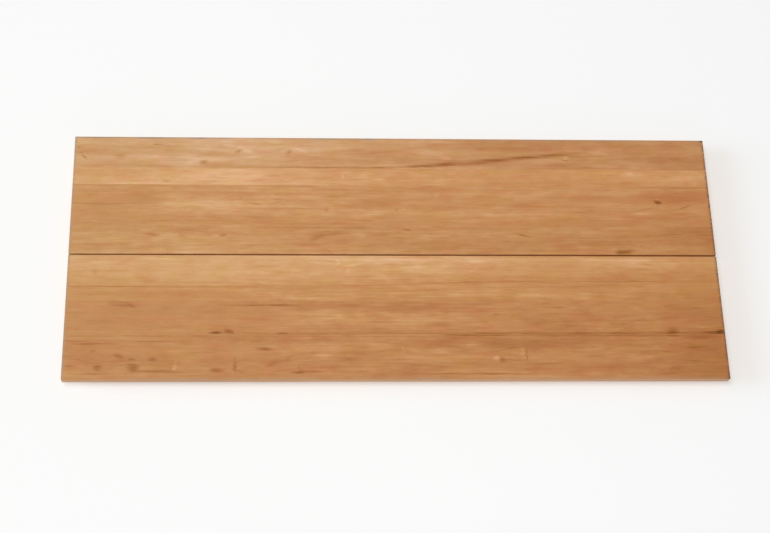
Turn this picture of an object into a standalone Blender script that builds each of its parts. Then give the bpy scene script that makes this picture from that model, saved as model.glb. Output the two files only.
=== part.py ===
# Teak plank tabletop
# Two wide teak planks lie side by side with a narrow open joint between them.
# Each plank is glued up from full-length staves, and three battens under the top hold the pair.
# The frame is metres, +Z up, +X to the right, with the user's edge at -Y.
# The origin is on the surface that the battens stand on, under the middle of the top.

import math

import bmesh
import bpy
from mathutils import Matrix, Vector

# Driving dimensions of the top
LENGTH = 1.800
THICKNESS = 0.025
PLANK_JOINT = 0.004
GLUE_LINE = 0.0003
ARRIS = 0.0020
ARRIS_STEPS = 2

# Stave widths, from the outer edge of the back plank to the user's edge of the front plank
BACK_STAVES = (0.096, 0.053, 0.123, 0.086)
FRONT_STAVES = (0.135, 0.095, 0.128)
PLANK_WIDTH = sum(BACK_STAVES)

# Battens
BATTEN_WIDTH = 0.070
BATTEN_LENGTH = 0.620
BATTEN_HEIGHT = 0.025
BATTEN_NOSE = 0.012
BATTEN_ARRIS = 0.0015
BATTEN_SPACING = 0.620
BATTEN_STEPS = {"left": -1, "middle": 0, "right": 1}

# Slots in the battens, long across the planks so that the wood can swell and shrink
SLOT_WIDTH = 0.0055
SLOT_TRAVEL = 0.006
RECESS_WIDTH = 0.0125
RECESS_DEPTH = 0.0060
SLOT_SIDES = 16

# Screws, pan headed, driven up through each batten into the planks
SCREW_Y = (0.285, 0.165, 0.045, -0.045, -0.165, -0.285)
SCREW_LENGTH = 0.034
SHANK_RADIUS = 0.0022
TIP_LENGTH = 0.004
HEAD_RADIUS = 0.0047
HEAD_HEIGHT = 0.0030
HEAD_CROWN = 0.0008
DRIVE_WIDTH = 0.0011
DRIVE_LENGTH = 0.0048
DRIVE_DEPTH = 0.0015
SCREW_SIDES = 16

FIT = 0.0003
OVERCUT = 0.002
SHARP_ANGLE = math.radians(35)

TOP_Z = BATTEN_HEIGHT + FIT + THICKNESS
UNDERSIDE_Z = BATTEN_HEIGHT + FIT
HEAD_SEAT_Z = RECESS_DEPTH - FIT
PILOT_DEPTH = HEAD_SEAT_Z + SCREW_LENGTH + FIT - UNDERSIDE_Z

# Finishes, as the light part of the picture shows them
TEAK_PALE = (0.66, 0.37, 0.17)
TEAK_MIDDLE = (0.56, 0.29, 0.12)
TEAK_DEEP = (0.47, 0.21, 0.085)
TEAK_BATTEN = (0.42, 0.21, 0.09)
TEAK_ROUGHNESS = 0.45
BATTEN_ROUGHNESS = 0.6
STEEL = (0.55, 0.55, 0.53)
STEEL_ROUGHNESS = 0.35
STAVE_COLOURS = {
    "back": (TEAK_MIDDLE, TEAK_PALE, TEAK_MIDDLE, TEAK_MIDDLE),
    "front": (TEAK_PALE, TEAK_DEEP, TEAK_DEEP),
}


def clear_scene():
    for old in list(bpy.data.objects):
        bpy.data.objects.remove(old, do_unlink=True)


def new_collection(name):
    made = bpy.data.collections.new(name)
    bpy.context.scene.collection.children.link(made)
    return made


def material(name, colour, roughness, metallic=0.0):
    made = bpy.data.materials.get(name) or bpy.data.materials.new(name)
    made.use_nodes = True
    shader = made.node_tree.nodes["Principled BSDF"]
    shader.inputs["Base Color"].default_value = (*colour, 1.0)
    shader.inputs["Roughness"].default_value = roughness
    shader.inputs["Metallic"].default_value = metallic
    return made


def new_object(name, mesh, collection, finish=None, location=(0, 0, 0)):
    made = bpy.data.objects.new(name, mesh)
    collection.objects.link(made)
    made.location = location
    if finish:
        mesh.materials.clear()
        mesh.materials.append(finish)
    return made


def box_mesh(name, size):
    body = bmesh.new()
    bmesh.ops.create_cube(body, size=1.0)
    bmesh.ops.scale(body, vec=Vector(size), verts=body.verts)
    mesh = bpy.data.meshes.new(name)
    body.to_mesh(mesh)
    body.free()
    return mesh


def slot_mesh(name, width, travel, height):
    """An upright slot: a cylinder drawn out along Y by the travel."""
    body = bmesh.new()
    bmesh.ops.create_cone(
        body,
        cap_ends=True,
        segments=SLOT_SIDES,
        radius1=width / 2,
        radius2=width / 2,
        depth=height,
    )
    half_step = Matrix.Rotation(math.pi / SLOT_SIDES, 3, "Z")
    bmesh.ops.rotate(body, cent=(0, 0, 0), matrix=half_step, verts=body.verts)
    for vert in body.verts:
        vert.co.y += travel / 2 if vert.co.y > 0 else -travel / 2
    mesh = bpy.data.meshes.new(name)
    body.to_mesh(mesh)
    body.free()
    return mesh


def cutter(name, mesh, location, collection):
    made = new_object(name, mesh, collection, location=location)
    made.display_type = "WIRE"
    made.hide_render = True
    return made


def add_bevel(target, width, segments):
    bevel = target.modifiers.new("eased arrises", "BEVEL")
    bevel.width = width
    bevel.segments = segments
    bevel.limit_method = "ANGLE"


def add_boolean(target, tool, operation):
    boolean = target.modifiers.new(f"{operation.lower()} {tool.name}", "BOOLEAN")
    boolean.operation = operation
    boolean.object = tool


def shade(mesh):
    mesh.shade_smooth()
    mesh.set_sharp_from_angle(angle=SHARP_ANGLE)


def make_stave(name, plank_y, low_y, high_y, finish, parts, cutters):
    """One full-length stave: the plank's eased outline kept only between its two glue lines."""
    stave = new_object(
        name,
        box_mesh(name, (LENGTH, PLANK_WIDTH, THICKNESS)),
        parts,
        finish,
        location=(0, plank_y, TOP_Z - THICKNESS / 2),
    )
    add_bevel(stave, ARRIS, ARRIS_STEPS)
    width = high_y - low_y
    reach = (LENGTH + 2 * OVERCUT, width, THICKNESS + 2 * OVERCUT)
    middle = (0, (low_y + high_y) / 2, TOP_Z - THICKNESS / 2)
    keep = cutter(f"{name}_keep", box_mesh(f"{name}_keep", reach), middle, cutters)
    add_boolean(stave, keep, "INTERSECT")
    for step in BATTEN_STEPS.values():
        for y in SCREW_Y:
            if low_y < y < high_y:
                drill(stave, step * BATTEN_SPACING, y, cutters)
    shade(stave.data)


def drill(stave, x, y, cutters):
    """A blind pilot hole for one screw, up from the underside."""
    height = PILOT_DEPTH + OVERCUT
    name = f"pilot_{stave.name}_{x:+.2f}_{y:+.3f}"
    mesh = slot_mesh(name, 2 * (SHANK_RADIUS + FIT), 0.0, height)
    place = (x, y, UNDERSIDE_Z - OVERCUT + height / 2)
    add_boolean(stave, cutter(name, mesh, place, cutters), "DIFFERENCE")


def make_plank(name, widths, outer_y, parts, cutters):
    """A plank glued up from staves, laid from outer_y towards -Y."""
    plank_y = outer_y - PLANK_WIDTH / 2
    edge = outer_y
    for number, width in enumerate(widths, 1):
        high = edge if number == 1 else edge - GLUE_LINE / 2
        edge -= width
        low = edge if number == len(widths) else edge + GLUE_LINE / 2
        tone = STAVE_COLOURS[name][number - 1]
        finish = material(f"teak_{name}_stave_{number}", tone, TEAK_ROUGHNESS)
        high += OVERCUT if number == 1 else 0
        low -= OVERCUT if number == len(widths) else 0
        make_stave(
            f"{name}_plank_stave_{number}", plank_y, low, high, finish, parts, cutters
        )


def make_batten(name, x, finish, parts, cutters):
    """A cross batten with nosed ends, and a recessed slot for each screw."""
    body = bmesh.new()
    bmesh.ops.create_cube(body, size=1.0)
    size = Vector((BATTEN_WIDTH, BATTEN_LENGTH, BATTEN_HEIGHT))
    bmesh.ops.scale(body, vec=size, verts=body.verts)
    lower_ends = [
        edge
        for edge in body.edges
        if all(vert.co.z < 0 for vert in edge.verts)
        and edge.verts[0].co.y == edge.verts[1].co.y
    ]
    bmesh.ops.bevel(
        body, geom=lower_ends, offset=BATTEN_NOSE, segments=1, affect="EDGES"
    )
    mesh = bpy.data.meshes.new(name)
    body.to_mesh(mesh)
    body.free()
    batten = new_object(
        name, mesh, parts, finish, location=(x, 0, BATTEN_HEIGHT / 2)
    )
    add_bevel(batten, BATTEN_ARRIS, 1)
    for y in SCREW_Y:
        hole_name = f"slot_{name}_{y:+.3f}"
        through = slot_mesh(
            hole_name, SLOT_WIDTH, SLOT_TRAVEL, BATTEN_HEIGHT + 2 * OVERCUT
        )
        place = (x, y, BATTEN_HEIGHT / 2)
        add_boolean(batten, cutter(hole_name, through, place, cutters), "DIFFERENCE")
        recess_name = f"recess_{name}_{y:+.3f}"
        recess = slot_mesh(
            recess_name, RECESS_WIDTH, SLOT_TRAVEL, RECESS_DEPTH + OVERCUT
        )
        place = (x, y, (RECESS_DEPTH - OVERCUT) / 2)
        add_boolean(batten, cutter(recess_name, recess, place, cutters), "DIFFERENCE")
    shade(batten.data)


def screw_mesh(parts, cutters):
    """A turned pan-head screw with its tip up and its cross drive facing down, made once for all."""
    outline = [
        (0.0, SCREW_LENGTH),
        (SHANK_RADIUS, SCREW_LENGTH - TIP_LENGTH),
        (SHANK_RADIUS, 0.0),
        (HEAD_RADIUS, 0.0),
        (HEAD_RADIUS, -HEAD_HEIGHT + 2 * HEAD_CROWN),
        (HEAD_RADIUS * 0.75, -HEAD_HEIGHT + HEAD_CROWN / 2),
        (HEAD_RADIUS * 0.40, -HEAD_HEIGHT),
        (0.0, -HEAD_HEIGHT),
    ]
    profile = bpy.data.meshes.new("screw_profile")
    points = [(radius, 0.0, z) for radius, z in outline]
    profile.from_pydata(points, [(i, i + 1) for i in range(len(points) - 1)], [])
    blank = new_object("screw_blank", profile, parts)
    turn = blank.modifiers.new("turned", "SCREW")
    turn.steps = SCREW_SIDES
    turn.render_steps = SCREW_SIDES
    turn.use_merge_vertices = True
    turn.merge_threshold = 0.0001
    bar = (DRIVE_LENGTH, DRIVE_WIDTH, 2 * DRIVE_DEPTH)
    for number, size in enumerate((bar, (bar[1], bar[0], bar[2]))):
        name = f"drive_{number}"
        tool = cutter(name, box_mesh(name, size), (0, 0, -HEAD_HEIGHT), cutters)
        add_boolean(blank, tool, "DIFFERENCE")
    bpy.context.view_layer.update()
    graph = bpy.context.evaluated_depsgraph_get()
    mesh = bpy.data.meshes.new_from_object(blank.evaluated_get(graph))
    bpy.data.objects.remove(blank, do_unlink=True)
    mesh.name = "pan_head_screw"
    shade(mesh)
    return mesh


def main():
    clear_scene()
    parts = new_collection("teak_plank_tabletop")
    cutters = new_collection("cutters")

    back_outer_y = PLANK_WIDTH + PLANK_JOINT / 2
    make_plank("back", BACK_STAVES, back_outer_y, parts, cutters)
    make_plank("front", FRONT_STAVES, -PLANK_JOINT / 2, parts, cutters)

    batten_finish = material("teak_batten", TEAK_BATTEN, BATTEN_ROUGHNESS)
    steel = material("zinc_plated_steel", STEEL, STEEL_ROUGHNESS, metallic=1.0)
    driven = screw_mesh(parts, cutters)
    for side, step in BATTEN_STEPS.items():
        x = step * BATTEN_SPACING
        make_batten(f"{side}_batten", x, batten_finish, parts, cutters)
        for number, y in enumerate(SCREW_Y, 1):
            name = f"{side}_batten_screw_{number}"
            new_object(name, driven, parts, steel, location=(x, y, HEAD_SEAT_Z))


main()
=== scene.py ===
import math

import bmesh
import bpy
import numpy as np
from mathutils import Matrix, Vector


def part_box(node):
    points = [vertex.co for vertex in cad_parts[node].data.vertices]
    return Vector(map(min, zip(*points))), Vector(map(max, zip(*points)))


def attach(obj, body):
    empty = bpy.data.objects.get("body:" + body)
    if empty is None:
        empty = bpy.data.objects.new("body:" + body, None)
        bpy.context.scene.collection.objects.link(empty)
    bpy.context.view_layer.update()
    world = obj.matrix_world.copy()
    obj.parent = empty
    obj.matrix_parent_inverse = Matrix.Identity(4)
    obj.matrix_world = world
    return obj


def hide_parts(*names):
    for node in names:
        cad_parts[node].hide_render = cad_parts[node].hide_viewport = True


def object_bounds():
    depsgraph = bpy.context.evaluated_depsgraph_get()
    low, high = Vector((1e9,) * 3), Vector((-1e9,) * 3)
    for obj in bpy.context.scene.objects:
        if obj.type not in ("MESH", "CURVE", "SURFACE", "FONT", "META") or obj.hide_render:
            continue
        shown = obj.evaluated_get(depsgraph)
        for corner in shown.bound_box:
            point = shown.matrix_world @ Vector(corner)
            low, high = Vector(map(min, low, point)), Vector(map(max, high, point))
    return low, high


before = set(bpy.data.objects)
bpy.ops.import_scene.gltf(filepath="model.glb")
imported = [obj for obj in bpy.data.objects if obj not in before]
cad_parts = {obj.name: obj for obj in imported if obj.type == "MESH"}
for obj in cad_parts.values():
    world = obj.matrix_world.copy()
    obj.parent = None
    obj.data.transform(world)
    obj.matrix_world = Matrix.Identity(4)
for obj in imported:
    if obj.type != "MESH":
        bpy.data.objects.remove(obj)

cad_low, cad_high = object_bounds()


# Back plank, outer stave: sawn teak, full length, planed and oiled. Its back edge and both its ends
# have eased arrises, and its inner edge is glued to the next stave. Two small figures and a dark
# mineral streak run through it, and a short check opens at the left end.

MM = 0.001

# Sizes of a stave's mesh. A glued face stands a little into the glue line, and the lines of points
# lie close on the top, wide apart below, and closest of all round a hollow.
ARRIS = 2.0 * MM
GLUED_ARRIS = 0.15 * MM
ARRIS_STEPS = 4
GLUE_SQUEEZE = 0.12 * MM
TOP_STEP = 2.4 * MM
UNDER_STEP = 9.0 * MM
LENGTH_STEP = 7.0 * MM
LEAST_STEP = 0.12 * MM
HOLLOW_STEPS = (-1.6, -1.0, -0.6, -0.3, 0.0, 0.3, 0.6, 1.0, 1.6)
HOLLOW_STEEPNESS = 1.6
WAVE_DEPTH = 0.08 * MM
CUP_DEPTH = 0.06 * MM
STAVE_SHARP = math.radians(40)
MERGE_DISTANCE = 0.002 * MM

# Teak from its darkest streak to its palest wood, as sRGB values at a place on the ramp
TEAK_TONES = (
    (0.00, (76, 40, 8)),
    (0.28, (142, 86, 28)),
    (0.48, (175, 112, 56)),
    (0.60, (192, 128, 75)),
    (0.68, (202, 140, 85)),
    (0.76, (210, 150, 95)),
    (0.84, (219, 162, 108)),
    (0.92, (229, 176, 126)),
    (1.00, (240, 189, 145)),
)
TEAK_ROUGHNESS = 0.50
TEAK_SPECULAR = 0.35
GRAIN_STRENGTH = 0.35
GRAIN_DEPTH = 0.12 * MM

# How much darker or paler the sides and ends are than the top, and how much their rings show. The
# darker ends are the end grain's own; the paler sides are partly sawn wood and partly painted light
# from the front
END_RINGS = 0.20
SIDE_RINGS = 0.22
END_DARKER = 0.11
SIDE_PALER = 0.075

# Hues that patches of the wood and its two ends lean to, multiplied into its colour
RUSSET = (0.95, 0.84, 0.80, 1.0)
ROSY = (1.0, 0.92, 0.93, 1.0)
GOLDEN = (0.98, 0.985, 0.87, 1.0)
FADED = (0.970, 1.0, 0.98, 1.0)
FADED_LENGTH = 650 * MM
RUDDY = (1.008, 0.980, 0.978, 1.0)
RUDDY_START = -300 * MM

# The rims of the top, worn pale all round with a painted highlight on them, and darkened by painted
# shade at the right end, as sRGB values
# The sawn sides of the top are paler wood, lifted further by painted light from the front
SAWN_AND_LIT_EDGE = (216, 174, 136)
SAWN_AND_LIT_STRENGTH = 0.5
WORN_AND_LIT_RIM = (176, 147, 122)
SHADED_RIM = (130, 98, 70)
RIM_WIDTH = 10 * MM
RIM_FULL_DEPTH = 5 * MM
RIM_END_DEPTH = 15 * MM
END_WEAR_AND_LIGHT = 0.7
FRONT_WEAR_AND_SHEEN = 0.25
BACK_WEAR_AND_SHEEN = 0.6

# Marks: from where an oval fades and how far out it reaches, how far a streak's ovals overlap, the
# least turn in degrees that is made, and the least depth in mm that a mark has
OVAL_CORE = 0.1
OVAL_FADE = 1.45
STREAK_OVERLAP = 1.6
LEAST_TURN = 1.5
LEAST_MARK_DEPTH = 12


class Shade:
    """One socket of a material, which Python's operators turn into further nodes."""

    def __init__(self, tree, socket):
        self.tree = tree
        self.socket = socket

    def node(self, kind, settings=None, sockets=None, out=0):
        """A new node of this kind, with its settings, then the values or links of its sockets."""
        made = self.tree.nodes.new(kind)
        for setting, value in (settings or {}).items():
            if setting == "stops":
                set_stops(made.color_ramp, value)
            else:
                setattr(made, setting, value)
        for key, value in (sockets or {}).items():
            if isinstance(value, Shade):
                self.tree.links.new(value.socket, made.inputs[key])
            else:
                made.inputs[key].default_value = value
        return Shade(self.tree, made.outputs[out])

    def worked_out(self, operation, first, second):
        """One sum of two terms, by Vector Math if one of them is a vector or a colour."""
        terms = (first, second)
        kinds = [term.socket.type for term in terms if isinstance(term, Shade)]
        if "VECTOR" in kinds or "RGBA" in kinds:
            kind = "ShaderNodeVectorMath"
            terms = [(term,) * 3 if isinstance(term, (int, float)) else term for term in terms]
        else:
            kind = "ShaderNodeMath"
        return self.node(kind, {"operation": operation}, dict(enumerate(terms)))

    def __add__(self, other):
        return self.worked_out("ADD", self, other)

    def __radd__(self, other):
        return self.worked_out("ADD", other, self)

    def __sub__(self, other):
        return self.worked_out("SUBTRACT", self, other)

    def __rsub__(self, other):
        return self.worked_out("SUBTRACT", other, self)

    def __mul__(self, other):
        return self.worked_out("MULTIPLY", self, other)

    def __rmul__(self, other):
        return self.worked_out("MULTIPLY", other, self)

    def __truediv__(self, other):
        return self.worked_out("DIVIDE", self, other)

    def __pow__(self, other):
        return self.worked_out("POWER", self, other)

    def fraction(self):
        return self.node("ShaderNodeMath", {"operation": "FRACT"}, {0: self})

    def length(self):
        return self.node("ShaderNodeVectorMath", {"operation": "LENGTH"}, {0: self}, out=1)

    def eased(self, start, end, low=0.0, high=1.0):
        """The value from low to high as self goes from start to end, with soft ends."""
        sockets = {0: self, 1: start, 2: end, 3: low, 4: high}
        return self.node("ShaderNodeMapRange", {"interpolation_type": "SMOOTHSTEP"}, sockets)

    def part(self, axis):
        return self.node("ShaderNodeSeparateXYZ", None, {0: self}, out=axis)

    def noise(self, scale, detail=0.0, roughness=0.5, colour=False):
        """Smooth noise about 0, between -1 and 1, with its own waves per metre on each axis."""
        kind = {"noise_dimensions": "3D", "normalize": False}
        sockets = {"Vector": self * scale, "Scale": 1.0, "Detail": detail, "Roughness": roughness}
        return self.node("ShaderNodeTexNoise", kind, sockets, out=1 if colour else 0)

    def tinted(self, amount, tint, blend="MIX"):
        """This colour with another laid over it, as far as amount says."""
        kind = {"data_type": "RGBA", "blend_type": blend, "clamp_factor": True}
        return self.node("ShaderNodeMix", kind, {0: amount, 6: self, 7: tint}, out=2)


def set_stops(ramp, stops):
    ramp.interpolation = "LINEAR"
    while len(ramp.elements) > 1:
        ramp.elements.remove(ramp.elements[-1])
    ramp.elements[0].position = stops[0][0]
    ramp.elements[0].color = stops[0][1]
    for place, colour in stops[1:]:
        ramp.elements.new(place).color = colour


def linear(colour):
    """An sRGB colour from 0 to 255 as the linear RGBA that the shader works in."""
    values = [channel / 255 for channel in colour]
    values = [v / 12.92 if v <= 0.04045 else ((v + 0.055) / 1.055) ** 2.4 for v in values]
    return (*values, 1.0)


def from_corner(x, y):
    """A place on the top face, given in mm from the left end and the back edge, in the frame."""
    return (cad_low.x + x * MM, cad_high.y - y * MM, cad_high.z)


def oval(place, mark, change):
    """The change at the middle of an oval mark that fades to nothing at its edge."""
    x, y, length, width, turn = mark
    middle = from_corner(x, y)
    if abs(turn) > LEAST_TURN:
        sockets = {"Vector": place, "Center": middle, "Angle": -math.radians(turn)}
        place = place.node("ShaderNodeVectorRotate", {"rotation_type": "Z_AXIS"}, sockets)
    shrink = (2 / (length * MM), 2 / (width * MM), 1 / (max(width, LEAST_MARK_DEPTH) * MM))
    shift = [-centre * factor for centre, factor in zip(middle, shrink)]
    sockets = {0: place, 1: shrink, 2: shift}
    inside = place.node("ShaderNodeVectorMath", {"operation": "MULTIPLY_ADD"}, sockets)
    return inside.length().eased(OVAL_FADE, OVAL_CORE, 0.0, change)


def marks_over(place, marks):
    """The sum of the changes that a list of marks makes.

    Each mark is its x, y, length and width in mm on the top face, its turn in degrees, its change.
    """
    total = 0.0
    for *mark, change in marks:
        total = oval(place, mark, change) + total
    return total


def streak(points, width, change):
    """A streak that follows a line of points, as a chain of slim ovals that overlap."""
    chain = []
    for (x0, y0), (x1, y1) in zip(points, points[1:]):
        length = math.hypot(x1 - x0, y1 - y0) * STREAK_OVERLAP
        turn = math.degrees(math.atan2(y0 - y1, x1 - x0))
        chain.append(((x0 + x1) / 2, (y0 + y1) / 2, length, width, turn, change))
    return chain


def teak(name, grain, tone, marks=(), blushes=(), eddies=(), dry=0.0):
    """Solid teak: growth rings round a heart, streaks and pores that run with them, and marks.

    Marks change how pale the wood is, blushes turn it russet, and eddies push its lines aside.
    """
    made = bpy.data.materials.new(name)
    made.use_nodes = True
    tree = made.node_tree
    shader = tree.nodes["Principled BSDF"]
    where = tree.nodes.new("ShaderNodeTexCoord")
    place = Shade(tree, where.outputs["Object"])
    if grain["along"] == "y":
        turned = {"X": place.part(1), "Y": place.part(0), "Z": place.part(2)}
        place = place.node("ShaderNodeCombineXYZ", None, turned)

    # A place of its own in every noise for each stave, and masks for its side and end faces
    seed = grain["seed"]
    shifted = place + (seed * 3.7, seed * 1.3, seed * 2.1)
    facing = Shade(tree, where.outputs["Normal"])
    across_face, along_face = facing.part(1), facing.part(0)
    if grain["along"] == "y":
        across_face, along_face = along_face, across_face
    side_face = (across_face * across_face).eased(0.45, 0.95)
    end_face = (along_face * along_face).eased(0.35, 0.85)

    # The distance from the heart, the turn round it, and the place along the stave
    x, y, z = place.part(0), place.part(1), place.part(2)
    sway = shifted.noise((0.9, 0.0, 0.0), 1.0) * grain["sway"] * MM
    waver = shifted.noise((5.0, 34.0, 34.0), 1.0) * grain["waver"] * MM
    heart_y, heart_z = grain["heart"]
    lean_y, lean_z = grain["lean"]
    across = y - heart_y + x * lean_y + sway + waver + marks_over(place, eddies)
    above = z - heart_z + x * lean_z + waver
    radius = (across * across + above * above) ** 0.5
    reach = math.hypot(heart_y - grain["middle"], cad_high.z - heart_z)
    turn = across.node("ShaderNodeMath", {"operation": "ARCTAN2"}, {0: across, 1: above}) * reach
    run = place.node("ShaderNodeCombineXYZ", None, {"X": x + seed, "Y": radius, "Z": turn})

    # The figure, from the growth rings down to the pores
    rings = radius / (grain["ring"] * MM) + run.noise((0.5, 60.0, 12.0), 2.0) * 1.6
    ring = rings.fraction()
    late = ring.eased(0.30, 0.93) - ring.eased(0.93, 1.0)
    bands = run.noise((1.9, 29.0, 29.0), 3.0, 0.52)
    lines = run.noise((11.0, 170.0, 120.0), 2.0, 0.5)
    clouds = shifted.noise((20.0, 45.0, 45.0), 2.0, 0.45)
    flecks = run.noise((17.0, 150.0, 110.0), 1.0)
    flecks = flecks.eased(-0.30, -0.62) - flecks.eased(0.30, 0.62)
    fibre = run.noise((34.0, 1500.0, 1100.0), 1.0)
    slow = run.noise((1.1, 9.0, 9.0), 1.0)
    pores = run.noise((120.0, 2300.0, 2300.0)).eased(0.28, 0.55) * ring.eased(0.55, 0.05, 0.25, 1.0)

    # How pale the wood is, as a place on the ramp of tones
    ragged = shifted.noise((26.0, 210.0, 26.0), 2.0, 0.6, colour=True)
    touched = place + ragged * (4 * MM, 1.6 * MM, 0.0)
    # Paler at the left end and darker at the right: partly the wood's own tone, partly painted shade
    # as the light falls off away from the left
    depth = tone["left"] + x.eased(cad_low.x, cad_high.x, 0.0, tone["right"] - tone["left"])
    depth = depth + (y - grain["middle"]) * tone["across"]
    depth = depth + slow * tone["slow"] + bands * tone["bands"] + lines * tone["lines"]
    depth = depth + clouds * tone["clouds"] + flecks * tone["flecks"]
    depth = depth + fibre * tone["fibre"] - pores * tone["pores"]
    depth = depth - late * (tone["rings"] + end_face * END_RINGS + side_face * SIDE_RINGS)
    # Sides paler, partly as painted light from the front; the end grain darker in itself
    depth = depth + side_face * SIDE_PALER - end_face * END_DARKER
    if marks:
        depth = depth + marks_over(touched, marks) * (1 + bands * 0.9 + lines * 1.1 + clouds * 0.5)
    stops = [(at, linear(wood)) for at, wood in TEAK_TONES]
    colour = depth.node("ShaderNodeValToRGB", {"stops": stops}, {0: depth})

    # The hue, which drifts over each stave and along the whole top
    hue = shifted.noise((11.0, 32.0, 32.0), 2.0, 0.6, colour=True)
    colour = colour.tinted(hue.part(0).eased(0.0, 0.6), ROSY, "MULTIPLY")
    colour = colour.tinted(hue.part(1).eased(0.0, 0.6), GOLDEN, "MULTIPLY")
    colour = colour * tone["cast"]
    if blushes:
        colour = colour.tinted(marks_over(touched, blushes), RUSSET, "MULTIPLY")
    if grain["along"] == "x":
        colour = colour.tinted(x.eased(cad_low.x + FADED_LENGTH, cad_low.x), FADED, "MULTIPLY")
        colour = colour.tinted(x.eased(RUDDY_START, cad_high.x), RUDDY, "MULTIPLY")

        # The rims of the whole top, on its upper side alone: pale wear with a painted highlight, and
        # painted shade at the right end
        to_end = (x * x) ** 0.5 - (cad_high.x - RIM_WIDTH)
        to_side = ((y * y) ** 0.5 - (cad_high.y - RIM_WIDTH)).eased(0.0, RIM_WIDTH)
        end_rim = to_end.eased(0.0, RIM_WIDTH) * (1 - end_face) * END_WEAR_AND_LIGHT
        side_rim = to_side * (1 - side_face) * y.eased(-0.1, 0.1, FRONT_WEAR_AND_SHEEN, BACK_WEAR_AND_SHEEN)
        upper = z.eased(cad_high.z - RIM_END_DEPTH, cad_high.z - RIM_FULL_DEPTH)
        rim = (end_rim + side_rim) * upper * (1 + lines * 1.5 + clouds * 0.8)
        # The rim at the right end takes painted shade, as it faces away from the light
        at_right = x.eased(cad_high.x - 2 * RIM_WIDTH, cad_high.x - RIM_WIDTH)
        rim_wear_and_light = {0: at_right, 6: linear(WORN_AND_LIT_RIM), 7: linear(SHADED_RIM)}
        rim_wear_and_light = x.node("ShaderNodeMix", {"data_type": "RGBA"}, rim_wear_and_light, out=2)
        colour = colour.tinted(rim, rim_wear_and_light)
        # Painted light from the front pales the sawn sides, on top of their own paler wood
        colour = colour.tinted(side_face * to_side * SAWN_AND_LIT_STRENGTH, linear(SAWN_AND_LIT_EDGE))

    rough = TEAK_ROUGHNESS + dry + pores * 0.20 + fibre * 0.06 + late * 0.03
    height = pores * -1.0 + late * 0.35 + fibre * 0.25 + lines * 0.2
    relief = {"Height": height, "Strength": GRAIN_STRENGTH, "Distance": GRAIN_DEPTH}
    normal = height.node("ShaderNodeBump", None, relief)
    tree.links.new(colour.socket, shader.inputs["Base Color"])
    tree.links.new(rough.socket, shader.inputs["Roughness"])
    tree.links.new(normal.socket, shader.inputs["Normal"])
    shader.inputs["Specular IOR Level"].default_value = TEAK_SPECULAR
    return made


def spaced(start, end, step, extra=()):
    """Even places from start to end, with the extra ones between them."""
    count = max(2, math.ceil((end - start) / step) + 1)
    places = list(np.linspace(start, end, count))
    places += [place for place in extra if start < place < end]
    places = sorted(places)
    kept = [places[0]]
    for place in places[1:]:
        if place - kept[-1] > LEAST_STEP:
            kept.append(place)
    kept[-1] = end
    return kept


def hollow_places(hollows, axis):
    """Places along one axis that lie close together at each hollow, so that it comes out smooth."""
    places = []
    for x, y, length, width, depth in hollows:
        half = (length, width)[axis] * MM / 2
        places += [from_corner(x, y)[axis] + half * step for step in HOLLOW_STEPS]
    return places


def quarter(start_turn):
    """The outward directions round a quarter of a circle, for a rounded arris."""
    turns = [start_turn - math.pi / 2 * step / ARRIS_STEPS for step in range(ARRIS_STEPS + 1)]
    return [(math.cos(turn), math.sin(turn)) for turn in turns]


def stave_outline(low, high, back_arris, front_arris, hollows):
    """The stave's cross-section as points y, z and the outward direction at each, clockwise."""
    near = hollow_places(hollows, 1)
    top_lines = spaced(low.y + front_arris, high.y - back_arris, TOP_STEP, near)
    under_lines = spaced(low.y + front_arris, high.y - back_arris, UNDER_STEP)
    points = [(y, high.z, 0.0, 1.0) for y in top_lines]
    corners = (
        (high.y, high.z, back_arris, math.pi / 2),
        (high.y, low.z, back_arris, 0.0),
        (low.y, low.z, front_arris, -math.pi / 2),
        (low.y, high.z, front_arris, math.pi),
    )
    rounded = []
    for y, z, arris, start_turn in corners:
        centre_y = y - arris if y == high.y else y + arris
        centre_z = z - arris if z == high.z else z + arris
        rounded.append([
            (centre_y + arris * out_y, centre_z + arris * out_z, out_y, out_z)
            for out_y, out_z in quarter(start_turn)
        ])
    points += rounded[0][1:] + rounded[1]
    points += [(y, low.z, 0.0, -1.0) for y in reversed(under_lines[1:-1])]
    points += rounded[2] + rounded[3][:-1]
    return np.array(points)


def planing_wave(x, y):
    """The slow wave that planing leaves along a board, from 0 to 1."""
    return 0.5 + 0.5 * np.sin(x * 5.1 + y * 23.0) * np.cos(x * 2.3 - 1.0)


def wall_faces(count, rows):
    """The faces between rows of points, each row a ring of count points."""
    faces = []
    for row in range(rows - 1):
        base, beyond = row * count, (row + 1) * count
        for step in range(count):
            after = (step + 1) % count
            faces.append((base + step, base + after, beyond + after, beyond + step))
    return faces


def placed(name, data):
    """An object in the scene that shows this mesh, lamp or camera."""
    made = bpy.data.objects.new(name, data)
    bpy.context.scene.collection.objects.link(made)
    return made


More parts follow.
